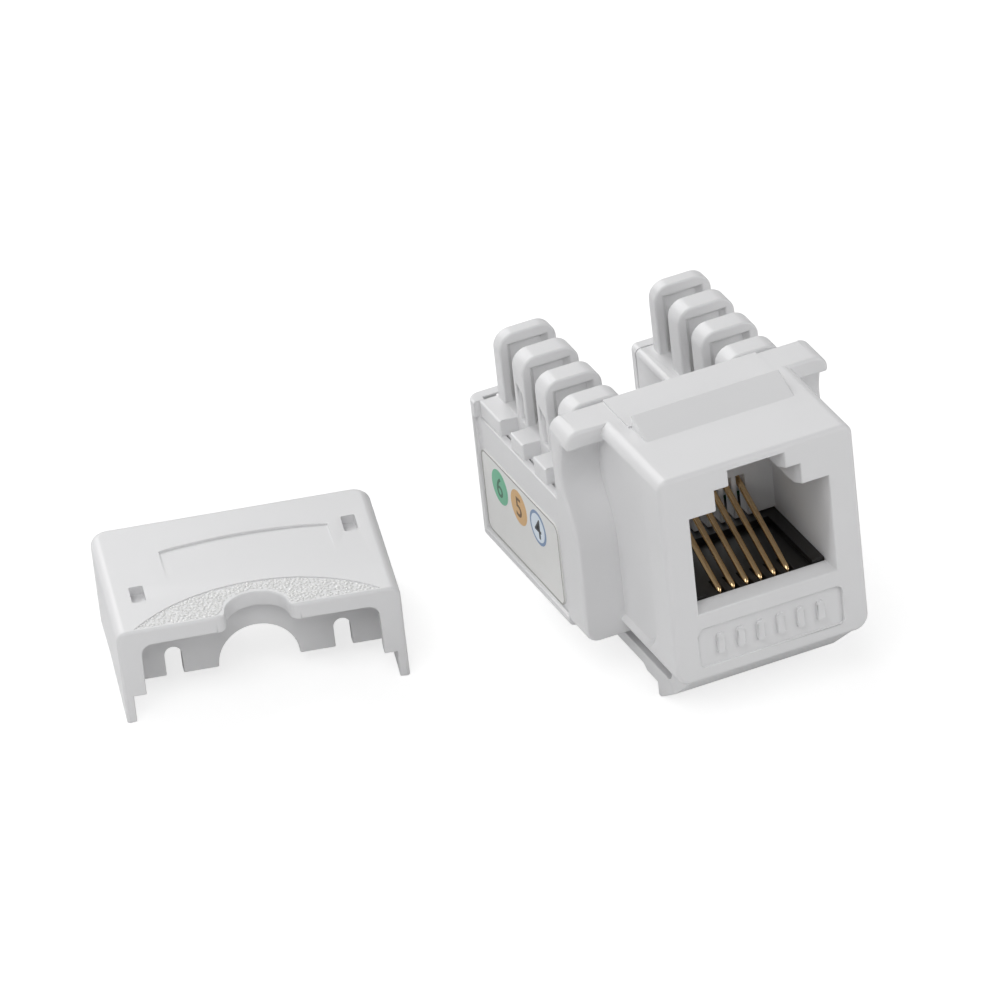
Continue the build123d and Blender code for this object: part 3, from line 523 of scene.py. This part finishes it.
spread = add_node(pebbles, "GeometryNodeInstanceOnPoints", inputs={
    "Points": scatter.outputs["Points"], "Instance": pebble.outputs["Mesh"],
    "Rotation": turns.outputs["Value"], "Scale": sizes.outputs[1]})
real = add_node(pebbles, "GeometryNodeRealizeInstances", inputs={0: spread.outputs[0]})
finish = add_node(pebbles, "GeometryNodeSetMaterial", inputs={0: real.outputs[0], "Material": grip_abs})
add_node(pebbles, "NodeGroupOutput", inputs={0: finish.outputs[0]})
scattering = grip.modifiers.new("pebbles", "NODES")
scattering.node_group = pebbles
for identifier, value in given_values.items():
    if value is not None:
        scattering[identifier] = value
grip_mesh = baked(grip, "cap_grip")
# Each pebble is sunk so that only its low crown stands in the grip's shallow recess
grip_mesh.transform(Matrix.Diagonal((1, 1, PEBBLE_RISE, 1)))
grip_mesh.transform(Matrix.Translation((0, 0, CAP_HEIGHT - GRIP_DEPTH + GRIP_LIFT)))
cap_stand = (Matrix.Translation(CAP_PLACE) @ Matrix.Rotation(radians(CAP_YAW), 4, "Z")
             @ Matrix.Rotation(radians(-CAP_LEAN), 4, "X"))
grip_mesh.transform(cap_stand)
mesh_piece("cap_grip", grip_mesh, grip_abs)


# Floor and light
# A white sweep under plain studio light. The floor keeps a soft part of the shadow, and
# its own glow, seen by the camera alone, makes it white.
FLOOR_HEIGHT = -12.47 * MM
FLOOR_HALF = 3
FLOOR_GLOW = 0.74
FLOOR_SHADE = 0.4
WORLD_LEVEL = 0.2
LAMP_TARGET = (-0.01, 0.01, 0)

floor_mesh = bpy.data.meshes.new("floor")
corners = [(x * FLOOR_HALF, y * FLOOR_HALF, FLOOR_HEIGHT) for x, y in ((-1, -1), (1, -1), (1, 1), (-1, 1))]
floor_mesh.from_pydata(corners, [], [(0, 1, 2, 3)])
floor = bpy.data.objects.new("floor", floor_mesh)
bpy.context.scene.collection.objects.link(floor)
white_paper, tree = new_material("white_paper_sweep")
ray = add_node(tree, "ShaderNodeLightPath")
paper = add_node(tree, "ShaderNodeBsdfDiffuse", inputs={"Color": (0.8, 0.8, 0.8, 1)})
faint = add_node(tree, "ShaderNodeBsdfDiffuse", inputs={
    "Color": (FLOOR_SHADE, FLOOR_SHADE, FLOOR_SHADE, 1)})
glow = add_node(tree, "ShaderNodeEmission", inputs={"Color": (1, 1, 1, 1), "Strength": FLOOR_GLOW})
bright = add_node(tree, "ShaderNodeAddShader", inputs={0: faint.outputs[0], 1: glow.outputs[0]})
surface = add_node(tree, "ShaderNodeMixShader", inputs={
    0: ray.outputs["Is Camera Ray"], 1: paper.outputs[0], 2: bright.outputs[0]})
add_node(tree, "ShaderNodeOutputMaterial", inputs={"Surface": surface.outputs[0]})
floor.data.materials.append(white_paper)

world = bpy.data.worlds.new("studio")
world.use_nodes = True
world.node_tree.nodes.clear()
tree = world.node_tree
ray = add_node(tree, "ShaderNodeLightPath")
seen = add_node(tree, "ShaderNodeMath", {"operation": "MAXIMUM"}, {
    0: ray.outputs["Is Camera Ray"], 1: ray.outputs["Is Transmission Ray"]})
level = add_node(tree, "ShaderNodeMapRange", inputs={
    "Value": seen.outputs[0], "To Min": WORLD_LEVEL, "To Max": 1.0})
sky = add_node(tree, "ShaderNodeBackground", inputs={"Color": (1, 1, 1, 1), "Strength": level.outputs[0]})
add_node(tree, "ShaderNodeOutputWorld", inputs={"Surface": sky.outputs[0]})
bpy.context.scene.world = world


def softbox(name, place, size, energy):
    """A square softbox that points between the jack and the cap."""
    lamp = bpy.data.lights.new(name, "AREA")
    lamp.shape = "SQUARE"
    lamp.size = size
    lamp.energy = energy
    holder = bpy.data.objects.new(name, lamp)
    bpy.context.scene.collection.objects.link(holder)
    aim = (Vector(LAMP_TARGET) - Vector(place)).to_track_quat("-Z", "Y")
    holder.matrix_world = Matrix.Translation(place) @ aim.to_matrix().to_4x4()
    return holder


softbox("back_softbox", (-0.1, 0.62, 0.45), 0.6, 3.7)
softbox("high_softbox", (-0.3, -0.35, 0.6), 0.5, 2.2)
softbox("right_softbox", (0.5, -0.5, 0.25), 0.5, 1.8)
softbox("left_softbox", (-0.65, 0.1, 0.3), 0.5, 0.95)


# Camera
# A long lens from above and to the left of the port, where the photograph was taken from.
CAMERA_PLACE = Vector((-0.21771, -0.51981, 0.34399))
CAMERA_RIGHT = Vector((0.9074, -0.4091, -0.0958))
CAMERA_UP = Vector((0.2869, 0.4367, 0.8526))
CAMERA_LENS = 352.7
SENSOR_WIDTH = 36

lens_data = bpy.data.cameras.new("photograph_view")
lens_data.lens = CAMERA_LENS
lens_data.sensor_width = SENSOR_WIDTH
lens_data.sensor_fit = "HORIZONTAL"
lens_data.clip_start = 0.01
camera = bpy.data.objects.new("photograph_view", lens_data)
bpy.context.scene.collection.objects.link(camera)
right = CAMERA_RIGHT.normalized()
up = (CAMERA_UP - CAMERA_UP.dot(right) * right).normalized()
back = right.cross(up)
camera.matrix_world = Matrix.Translation(CAMERA_PLACE) @ Matrix((right, up, back)).transposed().to_4x4()
bpy.context.scene.camera = camera
bpy.context.scene.view_settings.view_transform = "Standard"
